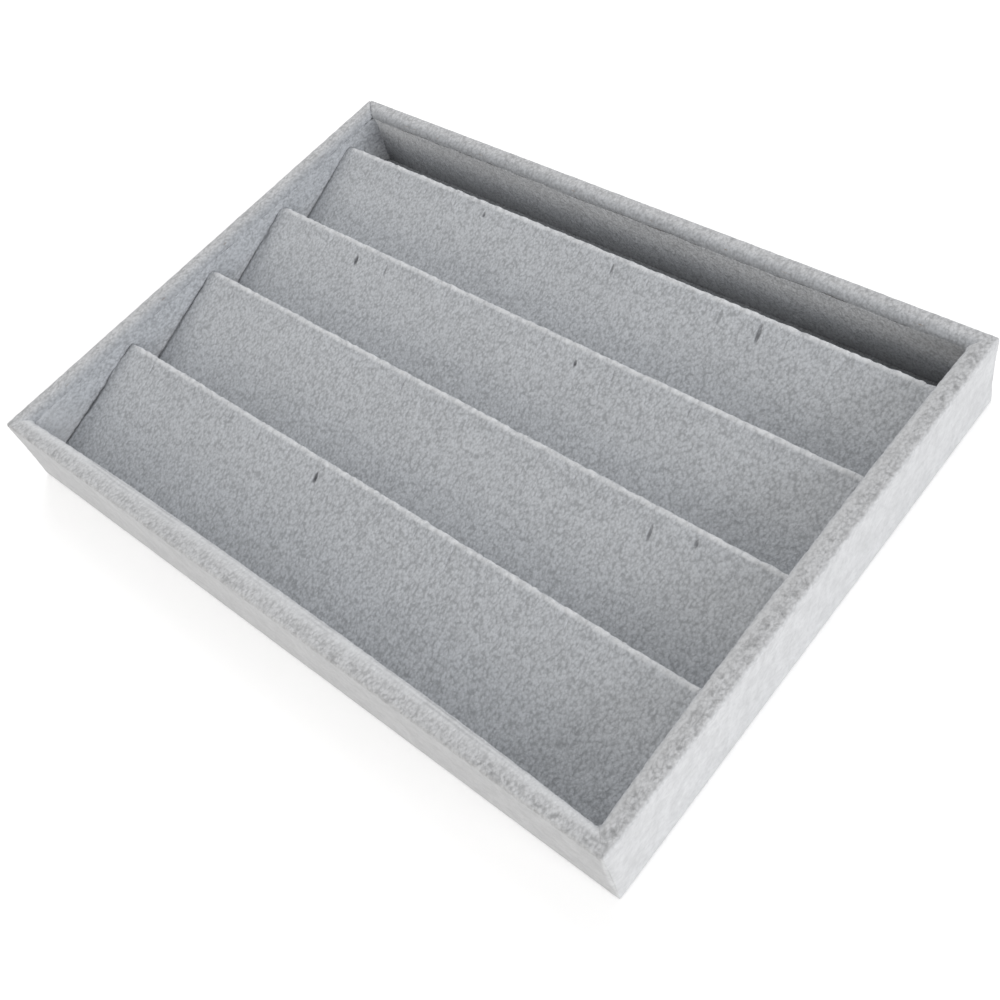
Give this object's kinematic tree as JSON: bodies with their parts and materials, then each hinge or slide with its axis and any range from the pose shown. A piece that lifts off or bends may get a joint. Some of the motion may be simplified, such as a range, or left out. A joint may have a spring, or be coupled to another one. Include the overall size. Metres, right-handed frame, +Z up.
{
  "type": "jewelry tray",
  "caption": "Flat rectangular velvet-covered jewelry display tray with a raised rim and a lift-out pleated insert of sloping ramps with slits under the ridges.",
  "frame": {"origin": "middle of the underside, on the surface that the tray stands on", "axes": "+X along the tray's length, +Y from the low front ramp to the trough at the back, +Z up"},
  "size_m": [0.35, 0.252, 0.038],
  "materials": {
    "velvet": "short pale grey pile",
    "lining": "flat grey felt",
    "fibreboard": "raw fibreboard",
    "greyboard": "raw greyboard",
    "steel": "bright wire"
  },
  "bodies": {
    "tray": {"underside_lining": "lining", "base_board": "fibreboard", "base_brads": "steel", "corner_v_nails": "steel", "floor_velvet": "velvet", "front_wall_core": "fibreboard", "back_wall_core": "fibreboard", "left_wall_core": "fibreboard", "right_wall_core": "fibreboard", "front_wall_wrap": "velvet", "back_wall_wrap": "velvet", "left_wall_wrap": "velvet", "right_wall_wrap": "velvet", "front_liner": "velvet", "back_liner": "velvet", "left_liner": "velvet", "right_liner": "velvet"},
    "insert": {"ramp_board_1": "greyboard", "ramp_board_2": "greyboard", "ramp_board_3": "greyboard", "ramp_board_4": "greyboard", "riser_board_1": "greyboard", "riser_board_2": "greyboard", "riser_board_3": "greyboard", "riser_board_4": "greyboard", "back_flap_board": "greyboard", "insert_velvet": "velvet"}
  },
  "joints": [
    {"name": "insert_lift", "type": "slide", "parent": "tray", "child": "insert", "axis": [0, 0, 1], "range_m": [0, 0.045]}
  ]
}
